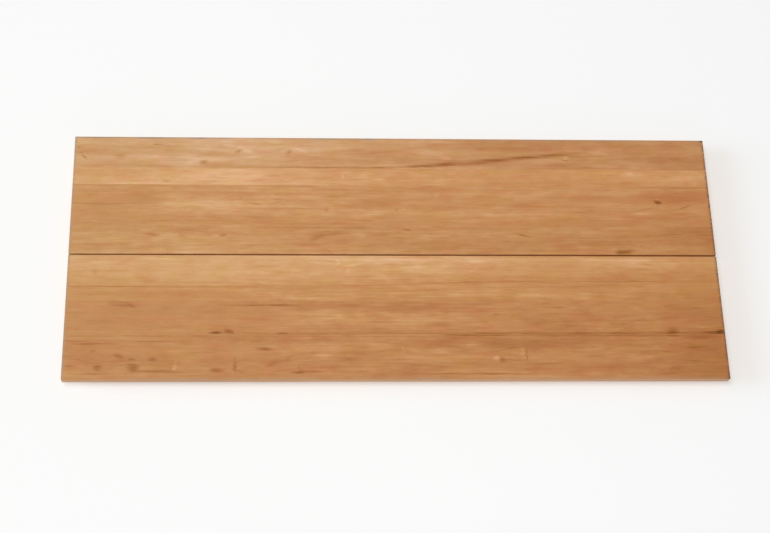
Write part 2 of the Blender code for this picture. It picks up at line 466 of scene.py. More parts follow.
def planed_stave(node, finish, hollows=(), outer=None):
    """The stave as a closed shell on the CAD stave's box, with rounded arrises and real hollows.

    Each hollow is its x, y, length, width and depth in mm. The outer side is eased, not glued.
    """
    low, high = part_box(node)
    back_arris = ARRIS if outer == "back" else GLUED_ARRIS
    front_arris = ARRIS if outer == "front" else GLUED_ARRIS
    if outer != "back":
        high.y += GLUE_SQUEEZE
    if outer != "front":
        low.y -= GLUE_SQUEEZE
    outline = stave_outline(low, high, back_arris, front_arris, hollows)

    near = hollow_places(hollows, 0)
    stations = [(x, 0.0) for x in spaced(low.x + ARRIS, high.x - ARRIS, LENGTH_STEP, near)]
    turns = [math.pi / 2 * step / ARRIS_STEPS for step in range(1, ARRIS_STEPS + 1)]
    for turn in turns:
        reach, inset = ARRIS * math.sin(turn), ARRIS * (1 - math.cos(turn))
        stations.insert(0, (low.x + ARRIS - reach, inset))
        stations.append((high.x - ARRIS + reach, inset))

    y, z, out_y, out_z = outline.T
    middle = (low.y + high.y) / 2
    eased_back = (y > middle) & (outer == "back")
    eased_front = (y < middle) & (outer == "front")
    eased_side = eased_back | eased_front
    rings = []
    for x, inset in stations:
        ring_y = y - out_y * inset * eased_side
        ring_z = np.clip(z - out_z * inset, low.z + inset, high.z - inset)
        on_top = np.clip((z - (high.z - ARRIS)) / ARRIS, 0.0, 1.0) * (1 - inset / ARRIS)
        aside = (ring_y - middle) / (high.y - low.y) * 2
        sunk = CUP_DEPTH * (1 - aside ** 2) + WAVE_DEPTH * planing_wave(x, ring_y)
        for hollow_x, hollow_y, length, width, depth in hollows:
            centre_x, centre_y, top = from_corner(hollow_x, hollow_y)
            off = np.hypot((x - centre_x) / (length * MM / 2), (ring_y - centre_y) / (width * MM / 2))
            sunk = sunk + depth * MM * np.exp(-(off ** 2) * HOLLOW_STEEPNESS)
        rings.append(np.stack([np.full_like(ring_y, x), ring_y, ring_z - sunk * on_top], axis=1))

    count = len(outline)
    points = np.concatenate(rings)
    last = len(points) - count
    first_end = tuple(reversed(range(count)))
    faces = [first_end, *wall_faces(count, len(rings)), tuple(range(last, last + count))]

    mesh = bpy.data.meshes.new(f"{node}_planed")
    mesh.from_pydata(points.tolist(), [], faces)
    body = bmesh.new()
    body.from_mesh(mesh)
    bmesh.ops.remove_doubles(body, verts=body.verts, dist=MERGE_DISTANCE)
    bmesh.ops.recalc_face_normals(body, faces=body.faces)
    body.to_mesh(mesh)
    body.free()
    mesh.shade_smooth()
    mesh.set_sharp_from_angle(angle=STAVE_SHARP)
    mesh.materials.append(finish)
    stave = placed(f"{node}_planed", mesh)
    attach(stave, "root")
    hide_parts(node)


def stave_grain(node, heart, lean, ring, seed, sway=8.0, waver=1.5):
    """How a stave was sawn. Its heart, the pith, lay so far aside of its middle and below its top.

    The heart is in metres, the lean in metres for each metre of length, the other sizes in mm.
    """
    low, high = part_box(node)
    middle = (low.y + high.y) / 2
    return {
        "along": "x",
        "seed": seed,
        "middle": middle,
        "heart": (middle + heart[0], cad_high.z - heart[1]),
        "lean": lean,
        "ring": ring,
        "sway": sway,
        "waver": waver,
    }


def stave_tone(left, right, across=0.0, bands=0.09, lines=0.04, rings=0.03, slow=0.035,
               cast=(1.0, 1.0, 1.0)):
    """How pale a stave is at its left and right ends, partly as painted shade towards the right, how
    strongly its figure shows, and its cast.
    """
    return {
        "left": left,
        "right": right,
        "across": across,
        "bands": bands,
        "lines": lines,
        "rings": rings,
        "slow": slow,
        "clouds": 0.05,
        "flecks": 0.035,
        "fibre": 0.045,
        "pores": 0.12,
        "cast": cast,
    }


back_1_marks = [
    (12, 34, 16, 6, 0, -0.25),
    (16, 50, 22, 5, 0, -0.20),
    (26, 61, 28, 7, -50, -0.20),
    (233, 25, 26, 6, 0, -0.20),
    (275, 66, 30, 4, 0, -0.08),
    (310, 76, 26, 4, 0, -0.08),
    (366, 80, 26, 16, 0, -0.20),
    (130, 64, 30, 14, 0, -0.07),
    (462, 44, 26, 12, 30, -0.13),
    (466, 30, 22, 5, 0, 0.07),
    (490, 45, 48, 13, -26, 0.045),
    (506, 61, 48, 6, 0, 0.06),
    (604, 47, 20, 16, 40, -0.12),
    (640, 40, 50, 9, -20, 0.04),
    (840, 46, 260, 28, 0, -0.04),
    (1395, 67, 18, 6, 0, -0.12),
    (1480, 91, 240, 4, 0, -0.08),
    (1045, 21, 26, 5, 0, -0.10),
    (1396, 59, 18, 10, 0, 0.17),
    (1430, 64, 70, 26, 0, -0.07),
    (1725, 62, 54, 9, 0, -0.17),
    (1660, 66, 60, 24, 0, -0.05),
    *streak([(400, 93), (620, 94), (840, 93), (1000, 87)], 7, -0.15),
    *streak([(970, 88), (1060, 80), (1160, 71), (1270, 59), (1410, 47)], 15, -0.165),
    *streak([(1040, 84), (1130, 77), (1230, 66)], 24, -0.05),
    (110, 48, 360, 300, 0, -0.05),
    (680, 48, 560, 200, 0, -0.03),
    (1250, 48, 300, 200, 0, -0.03),
    (1730, 48, 300, 300, 0, -0.03),
]
back_1_blushes = [
    (840, 46, 300, 32, 0, 0.8),
    *streak([(1030, 90), (1150, 82), (1280, 72)], 26, 0.6),
    (1340, 32, 440, 26, 0, 0.9),
    (1600, 32, 150, 22, 0, 0.5),
    (520, 22, 140, 10, 0, 0.3),
]
back_1_eddies = [(455, 45, 110, 46, 0, 7 * MM), (612, 45, 100, 44, 0, -7 * MM)]
back_1_hollows = [(24, 60, 12, 5, 0.5), (366, 80, 14, 9, 0.15), (1725, 63, 30, 4, 0.2)]
planed_stave(
    "back_plank_stave_1",
    teak(
        "teak_back_outer",
        stave_grain("back_plank_stave_1", (0.03, 0.09), (0.012, 0.02), 5.0, 1.0),
        stave_tone(0.955, 0.75, bands=0.135, lines=0.055, cast=(0.972, 1.0, 1.07)),
        back_1_marks,
        back_1_blushes,
        back_1_eddies,
    ),
    back_1_hollows,
    outer="back",
)


# Back plank, second stave: the palest strip of the top, narrow, glued on both edges. It was sawn
# near the quarter, so its lines run straight, and it shows a bright patch in its left half.

back_2_marks = [
    (450, 124, 190, 44, 0, 0.07),
    (340, 122, 100, 36, 0, 0.03),
    (1640, 118, 440, 50, 0, 0.02),
    (1550, 108, 240, 26, 0, 0.02),
    (1150, 124, 240, 50, 0, -0.03),
    (1660, 120, 26, 5, 0, 0.05),
    (1580, 108, 16, 5, 0, 0.07),
    (140, 145, 260, 6, 0, 0.05),
    (90, 124, 330, 300, 0, -0.05),
    (1420, 122, 600, 100, 0, -0.03),
    (262, 139, 26, 7, 0, -0.08),
    (790, 130, 50, 4, 0, -0.08),
    (690, 131, 26, 3, 0, -0.07),
    (756, 120, 9, 16, 0, 0.07),
    (860, 131, 40, 6, 0, 0.06),
    (1060, 134, 70, 3, 0, -0.06),
    (1080, 125, 150, 26, 0, 0.02),
    (1230, 118, 70, 20, 0, 0.03),
    *streak([(20, 99), (150, 98), (300, 98)], 4, 0.05),
]
back_2_blushes = [
    (340, 122, 110, 40, 0, 0.35),
    (1270, 140, 300, 16, 0, 0.2),
    (900, 122, 2200, 200, 0, 0.2),
]
planed_stave(
    "back_plank_stave_2",
    teak(
        "teak_back_pale",
        stave_grain("back_plank_stave_2", (-0.14, 0.05), (-0.004, 0.0), 3.2, 2.0),
        stave_tone(0.95, 0.82, bands=0.07, lines=0.03, cast=(1.005, 0.99, 0.94)),
        back_2_marks,
        back_2_blushes,
        [(450, 124, 150, 40, 0, 4 * MM)],
    ),
)


# Back plank, third stave: the widest of this plank, with lines that run nearly straight, a small
# knot near the right end in a russet patch, and short dark flecks along its grain.

back_3_marks = [
    (205, 190, 130, 60, 0, -0.08),
    (350, 210, 320, 160, 0, 0.022),
    (90, 210, 300, 300, 0, -0.075),
    (900, 266, 1900, 26, 0, -0.06),
    (560, 267, 900, 8, 0, -0.04),
    (60, 208, 130, 6, 0, -0.10),
    (110, 153, 220, 5, 0, -0.10),
    (600, 221, 240, 6, 0, -0.09),
    (572, 178, 26, 4, 0, -0.17),
    (572, 193, 26, 4, 0, -0.17),
    (574, 202, 22, 3, 0, -0.16),
    (415, 174, 80, 3, 0, -0.08),
    (470, 190, 20, 14, 0, -0.06),
    (510, 207, 50, 6, -8, -0.10),
    (270, 219, 40, 6, 0, -0.08),
    (745, 163, 130, 6, 0, -0.14),
    (720, 183, 80, 5, 0, -0.10),
    (850, 165, 90, 24, 0, -0.06),
    (860, 200, 90, 24, 0, -0.07),
    (370, 259, 520, 5, 0, -0.09),
    (400, 247, 260, 5, 0, 0.07),
    (640, 243, 60, 5, 0, 0.07),
    (830, 238, 50, 4, 0, 0.08),
    (905, 222, 8, 8, 0, -0.12),
    (925, 220, 12, 8, 0, 0.10),
    (820, 257, 50, 8, 0, -0.08),
    (900, 248, 130, 4, 0, -0.06),
    (710, 222, 14, 20, 0, -0.07),
    (1058, 216, 60, 8, 0, -0.10),
    (1135, 246, 34, 5, 0, -0.14),
    (1070, 235, 50, 3, 0, -0.06),
    (1020, 176, 14, 16, 0, 0.10),
    (1200, 217, 220, 5, 0, 0.08),
    (1420, 229, 130, 5, 0, -0.12),
    (1500, 235, 80, 4, 0, -0.10),
    (1420, 248, 70, 22, 0, 0.07),
    (1651, 198, 22, 12, 0, -0.26),
    (1642, 193, 20, 5, -30, -0.14),
    (1649, 186, 16, 6, 0, 0.14),
    (1700, 188, 240, 58, 0, -0.05),
    (1700, 152, 230, 5, 0, -0.12),
    (1720, 214, 60, 5, 20, -0.12),
    (1610, 221, 70, 8, 10, -0.08),
    (1710, 234, 100, 4, 0, -0.12),
    (1600, 233, 60, 5, -5, 0.07),
    (1545, 250, 110, 30, 0, 0.05),
]
back_3_blushes = [
    (1710, 186, 260, 66, 0, 0.8),
    (780, 215, 160, 50, 0, 0.35),
]
planed_stave(
    "back_plank_stave_3",
    teak(
        "teak_back_wide",
        stave_grain("back_plank_stave_3", (0.10, 0.12), (0.006, -0.004), 4.2, 3.0),
        stave_tone(0.845, 0.75),
        back_3_marks,
        back_3_blushes,
        [(1650, 197, 130, 30, 0, -6 * MM), (205, 190, 140, 40, 0, 4 * MM)],
    ),
    [(1650, 198, 12, 7, 0.35), (572, 192, 24, 3, 0.1)],
)


# Back plank, inner stave: glued to the third one, with an eased arris along the open joint. It has
# swirls of darker wood, and at the joint a dark knot that has lost a little of its edge.

back_4_marks = [
    (226, 300, 46, 14, -8, -0.13),
    (350, 315, 320, 200, 0, 0.022),
    (1010, 315, 400, 200, 0, 0.025),
    (206, 288, 26, 5, 0, 0.08),
    (425, 301, 26, 10, 10, -0.14),
    (375, 293, 110, 4, -6, -0.08),
    (310, 303, 30, 12, 0, -0.06),
    (640, 279, 300, 6, 0, -0.12),
    (720, 296, 120, 14, 3, -0.14),
    (688, 304, 60, 18, 30, -0.10),
    (650, 330, 90, 10, 0, -0.08),
    (712, 348, 30, 5, -20, -0.12),
    (800, 278, 110, 12, 0, -0.08),
    (860, 298, 70, 14, 0, -0.08),
    (800, 300, 44, 14, 0, 0.05),
    (934, 285, 28, 7, -10, -0.20),
    (910, 322, 40, 8, 0, -0.08),
    (940, 350, 50, 4, 0, -0.08),
    (980, 330, 140, 14, 0, -0.05),
    (1090, 280, 220, 10, 0, -0.05),
    (1260, 276, 900, 12, 0, 0.03),
    (1260, 300, 44, 8, -14, -0.14),
    (1465, 320, 60, 7, 6, -0.14),
    (1590, 333, 18, 4, 0, -0.14),
    (1680, 296, 120, 5, 4, -0.12),
    (1640, 282, 260, 20, 0, -0.04),
    (1538, 352, 46, 20, 0, -0.29),
    (1560, 346, 30, 12, 0, -0.12),
    (1310, 346, 50, 8, 0, -0.06),
    (70, 330, 120, 5, 0, -0.08),
    (1760, 310, 220, 200, 0, -0.07),
    (180, 343, 60, 5, 0, -0.06),
    (60, 344, 70, 18, 0, -0.05),
]
back_4_blushes = [
    (700, 320, 200, 50, 0, 0.6),
    (1470, 330, 120, 40, 0, 0.5),
    (1785, 310, 50, 80, 0, 0.7),
    (1540, 290, 160, 30, 0, 0.3),
]
back_4_eddies = [
    (226, 300, 110, 26, 0, 5 * MM),
    (425, 300, 90, 24, 0, -5 * MM),
    (710, 300, 150, 34, 0, 6 * MM),
    (1538, 356, 160, 50, 0, 8 * MM),
    (1258, 300, 90, 24, 0, -4 * MM),
]
planed_stave(
    "back_plank_stave_4",
    teak(
        "teak_back_inner",
        stave_grain("back_plank_stave_4", (-0.05, 0.08), (-0.01, 0.012), 4.6, 4.0),
        stave_tone(0.80, 0.72, cast=(0.985, 1.008, 1.0)),
        back_4_marks,
        back_4_blushes,
        back_4_eddies,
    ),
    [(1538, 356, 30, 9, 0.9), (934, 285, 18, 5, 0.25)],
    outer="front",
)


# Front plank, first stave: pale and even, with its eased arris along the open joint. Its palest
# wood lies against the joint, and a darker band of late wood slopes slowly across its lower half.

front_1_marks = [
    (200, 430, 500, 300, 0, -0.02),
    (900, 430, 600, 240, 0, 0.025),
    (1760, 430, 220, 300, 0, -0.05),
    (740, 381, 14, 18, 30, 0.08),
    (772, 394, 50, 6, 8, 0.09),
    (766, 408, 12, 16, 0, 0.06),
    (890, 384, 200, 40, 0, 0.05),
    (1140, 382, 260, 26, 0, 0.02),
    (76, 412, 20, 18, -50, -0.06),
    (90, 384, 90, 4, 0, 0.07),
    (240, 375, 200, 8, 0, 0.05),
    (1540, 373, 240, 14, 0, 0.05),
    *streak([(0, 456), (130, 454), (300, 457), (480, 455)], 6, -0.11),
    *streak([(480, 456), (640, 452), (820, 451), (1000, 446)], 5, -0.10),
    *streak([(1000, 444), (1180, 440), (1400, 437), (1780, 438)], 5, -0.12),
    *streak([(1100, 458), (1300, 456), (1500, 452)], 3.5, -0.08),
    *streak([(780, 468), (940, 466), (1080, 462)], 4, -0.07),
    (350, 442, 220, 4, 0, -0.07),
    (90, 476, 150, 14, 0, -0.08),
    (340, 476, 320, 22, 0, -0.05),
    (480, 466, 60, 10, 0, 0.06),
    (1400, 482, 620, 22, 0, 0.05),
    (900, 484, 200, 8, 0, 0.06),
    (550, 472, 120, 30, 0, 0.03),
    (660, 489, 260, 4, 0, 0.08),
    (577, 495, 22, 4, 0, -0.14),
    (1370, 391, 90, 8, 0, -0.06),
    (1582, 402, 70, 6, 0, -0.09),
    (1585, 410, 60, 4, 0, 0.09),
    (1640, 416, 60, 4, 0, -0.08),
    (1600, 387, 50, 8, 0, -0.06),
    (1468, 451, 50, 5, 0, -0.08),
    (925, 415, 70, 5, 0, -0.05),
    (560, 446, 90, 16, 0, 0.03),
    (1090, 439, 40, 7, 0, -0.09),
    (1090, 480, 120, 30, 0, 0.02),
]
front_1_blushes = [
    (340, 478, 340, 36, 0, 0.4),
    (220, 440, 60, 14, 0, 0.6),
    (1500, 438, 120, 12, 0, 0.4),
]
planed_stave(
    "front_plank_stave_1",
    teak(
        "teak_front_pale",
        stave_grain("front_plank_stave_1", (0.12, 0.10), (0.005, 0.003), 4.4, 5.0),
        stave_tone(0.845, 0.79, across=1.0, bands=0.07, lines=0.03, cast=(1.0, 1.005, 0.965)),
        front_1_marks,
        front_1_blushes,
        [(745, 388, 100, 30, 0, 4 * MM)],
    ),
    [(577, 495, 16, 4, 0.15)],
    outer="back",
)


# Front plank, middle stave: deeper in tone, glued on both edges. A short open fleck and a pin knot
# lie on its lower edge, and at the right end its glue line has opened into a small check.

front_2_marks = [
    (155, 505, 80, 22, -6, -0.12),
    (110, 545, 360, 200, 0, -0.02),
    (900, 545, 640, 200, 0, 0.03),
    (420, 545, 520, 200, 0, -0.035),
    (132, 498, 30, 7, 30, -0.08),
    (180, 512, 40, 8, -30, -0.08),
    (545, 509, 230, 7, 0, -0.20),
    (500, 503, 60, 8, 0, -0.06),
    (640, 521, 100, 9, 0, -0.10),
    (605, 511, 200, 5, 0, -0.06),
    (760, 513, 150, 6, -2, -0.06),
    (900, 522, 110, 14, 0, -0.09),
    (1000, 519, 90, 14, 0, -0.05),
    (770, 538, 40, 18, 0, -0.05),
    (735, 548, 80, 4, 0, 0.08),
    (935, 537, 140, 4, 0, 0.07),
    (406, 588, 38, 9, 0, -0.25),
    (441, 583, 30, 18, -20, -0.17),
    (452, 592, 12, 14, 0, -0.12),
    (1760, 545, 240, 300, 0, -0.05),
    (410, 600, 60, 5, 0, 0.12),
    (300, 581, 160, 5, 0, 0.06),
    (585, 590, 36, 8, 0, -0.12),
    (833, 587, 36, 9, -8, -0.12),
    (900, 581, 60, 4, 0, 0.07),
    (1170, 536, 20, 6, 0, -0.12),
    (1110, 574, 80, 7, 0, -0.06),
    (1240, 580, 260, 4, 0, 0.06),
    (1330, 515, 90, 6, 0, -0.07),
    (1420, 530, 60, 30, -40, -0.05),
    (1520, 563, 50, 6, 8, -0.09),
    (1452, 576, 26, 14, 0, 0.08),
    (1654, 583, 34, 24, 0, -0.18),
    (1560, 552, 50, 6, 12, -0.05),
    (1740, 572, 60, 5, 0, 0.08),
    (1725, 517, 50, 8, 0, -0.06),
    (1560, 518, 40, 12, -20, 0.04),
    (1792, 584, 34, 12, 0, -0.25),
    (1766, 585, 60, 6, 0, -0.12),
    *streak([(540, 590), (1000, 589)], 5, -0.12),
    *streak([(1010, 589), (1220, 591)], 7, -0.16),
    *streak([(1200, 590), (1500, 590), (1790, 588)], 8, -0.17),
]
front_2_blushes = [
    (160, 545, 300, 60, 0, 0.4),
    (540, 545, 160, 50, 0, 0.6),
    (415, 560, 90, 50, 0, 0.5),
    (1750, 590, 120, 20, 0, 0.9),
    (1660, 520, 120, 40, 0, 0.5),
    (900, 515, 160, 30, 0, 0.5),
    (1468, 499, 46, 8, 0, 0.9),
    (1160, 520, 200, 40, 0, 0.3),
]
front_2_eddies = [
    (155, 505, 120, 26, 0, 5 * MM),
    (430, 586, 120, 24, 0, -3 * MM),
    (1655, 582, 90, 24, 0, 4 * MM),
]
planed_stave(
    "front_plank_stave_2",
    teak(
        "teak_front_deep",
        stave_grain("front_plank_stave_2", (-0.08, 0.10), (-0.006, 0.006), 4.0, 6.0),
        stave_tone(0.74, 0.665, bands=0.08),
        front_2_marks,
        front_2_blushes,
        front_2_eddies,
    ),
    [(405, 588, 32, 4, 0.3), (1796, 585, 30, 3, 0.8), (1655, 583, 16, 8, 0.2)],
)


# Front plank, outer stave: the deepest tone, with the eased arris of the user's edge. It was sawn
# close to the heart, so small eyes and blots of darker wood show along its left half.

front_3_marks = [
    (1750, 655, 260, 300, 0, -0.04),
    (120, 655, 380, 200, 0, -0.03),
    (400, 655, 300, 200, 0, -0.02),
    (800, 655, 260, 200, 0, 0.03),
    (200, 672, 240, 60, 0, -0.05),
    (52, 668, 84, 40, 0, 0.06),
    (95, 685, 26, 18, 0, -0.24),
    (189, 684, 34, 25, 0, -0.25),
    (182, 664, 20, 6, 0, -0.16),
    (150, 655, 30, 16, -30, -0.10),
    (240, 664, 24, 16, 0, -0.12),
    (268, 655, 40, 16, 0, -0.05),
    (300, 681, 13, 26, 0, 0.20),
    (250, 697, 120, 8, 0, -0.16),
    (300, 700, 60, 6, 0, -0.10),
    (412, 695, 44, 15, 0, -0.15),
    (460, 680, 11, 46, 0, -0.20),
    (470, 697, 40, 12, -20, -0.10),
    (565, 672, 40, 14, 30, -0.16),
    (600, 662, 40, 8, 30, -0.08),
    (628, 701, 34, 10, 0, -0.16),
    (632, 688, 12, 20, 0, -0.08),
    (540, 634, 50, 12, -4, -0.17),
    (590, 634, 60, 14, 0, -0.05),
    (78, 620, 120, 6, 0, -0.12),
    (30, 612, 60, 4, 0, -0.12),
    (240, 613, 160, 5, 0, -0.09),
    (80, 704, 110, 6, 0, -0.10),
    (20, 682, 30, 5, 0, -0.14),
    (80, 641, 20, 10, 0, -0.08),
    (330, 640, 150, 6, 0, 0.06),
    (330, 622, 130, 12, 0, 0.05),
    (205, 655, 50, 20, 0, 0.03),
    (790, 657, 150, 40, 0, -0.06),
    (770, 665, 60, 14, 0, -0.08),
    (900, 665, 60, 6, 0, -0.08),
    (690, 652, 60, 14, 0, 0.09),
    (930, 638, 80, 20, 0, 0.04),
    (912, 637, 7, 14, 0, 0.20),
    (1010, 639, 70, 12, 0, 0.10),
    (1020, 651, 60, 4, 0, -0.08),
    (1050, 628, 50, 8, -6, -0.09),
    (1100, 624, 40, 4, 0, 0.07),
    (1165, 662, 20, 18, 0, 0.08),
    (1180, 665, 16, 20, 0, -0.08),
    (1237, 645, 14, 34, 0, 0.06),
    (1248, 648, 6, 42, 0, -0.12),
    (1200, 634, 120, 4, 12, -0.10),
    (1200, 668, 120, 14, 0, -0.08),
    (1300, 676, 120, 5, 0, -0.09),
    (1430, 656, 80, 6, 0, -0.08),
    (1430, 632, 60, 24, 0, 0.05),
    (1280, 614, 120, 10, 0, -0.06),
    (960, 680, 70, 10, 0, -0.09),
    (1010, 684, 70, 10, 0, -0.06),
    (655, 698, 90, 7, 0, -0.12),
    (640, 697, 20, 6, 0, -0.10),
    (820, 692, 80, 16, 0, 0.06),
    (1630, 705, 60, 4, 0, -0.08),
    (1620, 641, 60, 4, -8, -0.07),
    (1730, 632, 90, 18, 0, -0.09),
    (1740, 602, 100, 10, 0, -0.12),
    (1690, 667, 120, 4, -4, -0.08),
    (1560, 660, 90, 16, 0, 0.04),
    (1640, 690, 80, 16, 0, 0.04),
    *streak([(20, 597), (300, 598), (560, 599), (900, 600)], 4, -0.07),
    *streak([(1030, 594), (1110, 595), (1200, 597)], 5, -0.16),
    *streak([(1260, 595), (1450, 596), (1700, 597)], 7, -0.09),
    (1654, 596, 34, 9, 0, -0.10),
    *streak([(900, 706), (1100, 704), (1260, 706)], 6, -0.09),
]
front_3_blushes = [
    (60, 655, 160, 80, 0, 0.55),
    (70, 618, 160, 20, 0, 0.7),
    (410, 640, 70, 60, 0, 0.5),
    (570, 676, 110, 40, 0, 0.8),
    (1005, 618, 90, 34, 0, 0.7),
    (1740, 600, 130, 26, 0, 0.9),
    (820, 692, 120, 20, 0, 0.5),
    (1400, 690, 220, 36, 0, 0.5),
    (760, 668, 90, 30, 0, 0.4),
]
front_3_eddies = [
    (95, 684, 90, 40, 0, 6 * MM),
    (190, 680, 90, 44, 0, -6 * MM),
    (565, 672, 110, 40, 0, 6 * MM),
    (460, 684, 80, 40, 0, -6 * MM),
    (1240, 648, 110, 44, 0, 6 * MM),
    (910, 640, 120, 40, 0, -5 * MM),
]
planed_stave(
    "front_plank_stave_3",
    teak(
        "teak_front_outer",
        stave_grain("front_plank_stave_3", (0.02, 0.06), (0.004, 0.010), 5.2, 7.0, waver=2.2),
        stave_tone(0.72, 0.627),
        front_3_marks,
        front_3_blushes,
        front_3_eddies,
    ),
    [(540, 634, 34, 4, 0.25), (412, 695, 20, 6, 0.15)],
    outer="front",
)


# Three battens of the same teak lie across the planks under the top. Their ends are nosed, and each
# has six slots, recessed for the screw heads, so that the planks can swell and shrink.

BATTEN_NOSE = 12 * MM
BATTEN_ARRIS = 1.5 * MM
SLOT_WIDTH = 5.5 * MM
RECESS_WIDTH = 12.5 * MM
RECESS_DEPTH = 6.0 * MM
SLOT_TRAVEL = 6.0 * MM
SLOT_SIDES = 40
OVERCUT = 1.0 * MM
BATTEN_SHARP = math.radians(25)
SCREWS_PER_BATTEN = 6


def set_down(body, name):
    """What was built in bmesh, as an object in the scene."""
    mesh = bpy.data.meshes.new(name)
    body.to_mesh(mesh)
    body.free()
    return placed(name, mesh)


def cut_out(blank, cutters):
    """The mesh that is left when the cutters are taken out of the blank. The cutters are used up."""
    for cutter in cutters:
        cut = blank.modifiers.new("cut", "BOOLEAN")
        cut.operation = "DIFFERENCE"
        cut.object = cutter
    bpy.context.view_layer.update()
    graph = bpy.context.evaluated_depsgraph_get()
    left = bpy.data.meshes.new_from_object(blank.evaluated_get(graph))
    blank.modifiers.clear()
    for cutter in cutters:
        bpy.data.objects.remove(cutter, do_unlink=True)
    return left


def slot_cutter(centre, width, bottom, top):
    """An upright slot, long across the planks, that is cut out of a batten."""
    body = bmesh.new()
    bmesh.ops.create_cone(body, cap_ends=True, segments=SLOT_SIDES, radius1=width / 2,
                          radius2=width / 2, depth=top - bottom)
    for vert in body.verts:
        if abs(vert.co.y) > MERGE_DISTANCE:
            vert.co.y += math.copysign(SLOT_TRAVEL / 2, vert.co.y)
    bmesh.ops.translate(body, verts=body.verts, vec=(centre.x, centre.y, (top + bottom) / 2))
    return set_down(body, "slot_cutter")


def nosed_batten(node, finish):
    """A batten with its lower ends cut back at a slant, rounded arrises and a slot for each screw."""
    low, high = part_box(node)
    body = bmesh.new()
    bmesh.ops.create_cube(body, size=1.0)
    bmesh.ops.scale(body, verts=body.verts, vec=high - low)
    bmesh.ops.translate(body, verts=body.verts, vec=(low + high) / 2)
    noses = [edge for edge in body.edges
             if all(vert.co.z < (low.z + high.z) / 2 for vert in edge.verts)
             and edge.verts[0].co.y == edge.verts[1].co.y]
    bmesh.ops.bevel(body, geom=noses, offset=BATTEN_NOSE, segments=1, affect="EDGES")
    bmesh.ops.bevel(body, geom=body.edges, offset=BATTEN_ARRIS, segments=3, profile=0.5,
                    affect="EDGES")
    batten = set_down(body, f"{node}_nosed")
    cutters = []
    for number in range(1, SCREWS_PER_BATTEN + 1):
        screw_low, screw_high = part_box(f"{node}_screw_{number}")
        centre = (screw_low + screw_high) / 2
        cutters.append(slot_cutter(centre, SLOT_WIDTH, low.z - OVERCUT, high.z + OVERCUT))
        cutters.append(slot_cutter(centre, RECESS_WIDTH, low.z - OVERCUT, low.z + RECESS_DEPTH))
    finished = cut_out(batten, cutters)
    batten.data = finished
    finished.shade_smooth()
    finished.set_sharp_from_angle(angle=BATTEN_SHARP)
    finished.materials.clear()
    finished.materials.append(finish)
    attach(batten, "root")
    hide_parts(node)


BATTEN_DRYNESS = 0.12
batten_tone = stave_tone(0.62, 0.60, rings=0.08)
for seed, side in enumerate(("left", "middle", "right")):
    node = f"{side}_batten"
    low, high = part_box(node)
    middle = (low.x + high.x) / 2
    batten_grain = {
        "along": "y",
        "seed": 11.0 + seed,
        "middle": middle,
        "heart": (middle + 0.04, high.z - 0.09),
        "lean": (0.01, 0.006),
        "ring": 3.6,
        "sway": 5.0,
        "waver": 1.2,
    }
    nosed_batten(node, teak(f"teak_{node}", batten_grain, batten_tone, dry=BATTEN_DRYNESS))


# The screws are zinc-plated steel with pan heads and a cross drive. They are driven up through the
# battens' slots, and their rolled threads bite into the planks.

THREAD_PITCH = 1.8 * MM
THREAD_DEPTH = 0.45 * MM
THREAD_TURN_STEPS = 20
THREAD_LENGTH_STEP = 0.3 * MM
THREAD_END = 0.2 * MM
SHANK_RADIUS = 2.2 * MM
PLAIN_SHANK = 8 * MM
TIP_LENGTH = 4.0 * MM
TIP_RADIUS = 0.02 * MM
HEAD_HEIGHT = 3.0 * MM
HEAD_DOME = 1.5 * MM
HEAD_FLAT = 0.35
HEAD_EDGE = 0.15 * MM
HEAD_STEPS = 6
DRIVE_ARM = 2.4 * MM
DRIVE_WIDTH = 1.1 * MM
DRIVE_DEPTH = 1.6 * MM
DRIVE_TAPER = 0.55
SCREW_SHARP = math.radians(35)
ZINC = (196, 198, 196)
DULL_ZINC = (140, 141, 134)
ZINC_ROUGHNESS = 0.34
SPANGLE_STRENGTH = 0.2
SPANGLE_DEPTH = 0.02 * MM


def drive_cutter(turn):
    """One arm of the cross drive, which narrows towards its bottom, turned about the screw's axis."""
    body = bmesh.new()
    bmesh.ops.create_cube(body, size=1.0)
    for vert in body.verts:
        at_bottom = vert.co.z > 0
        vert.co.x *= 2 * DRIVE_ARM * (DRIVE_TAPER if at_bottom else 1.0)
        vert.co.y *= DRIVE_WIDTH
        vert.co.z = -HEAD_HEIGHT + (DRIVE_DEPTH if at_bottom else -OVERCUT)
    bmesh.ops.rotate(body, verts=body.verts, matrix=Matrix.Rotation(turn, 3, "Z"))
    return set_down(body, "drive_cutter")


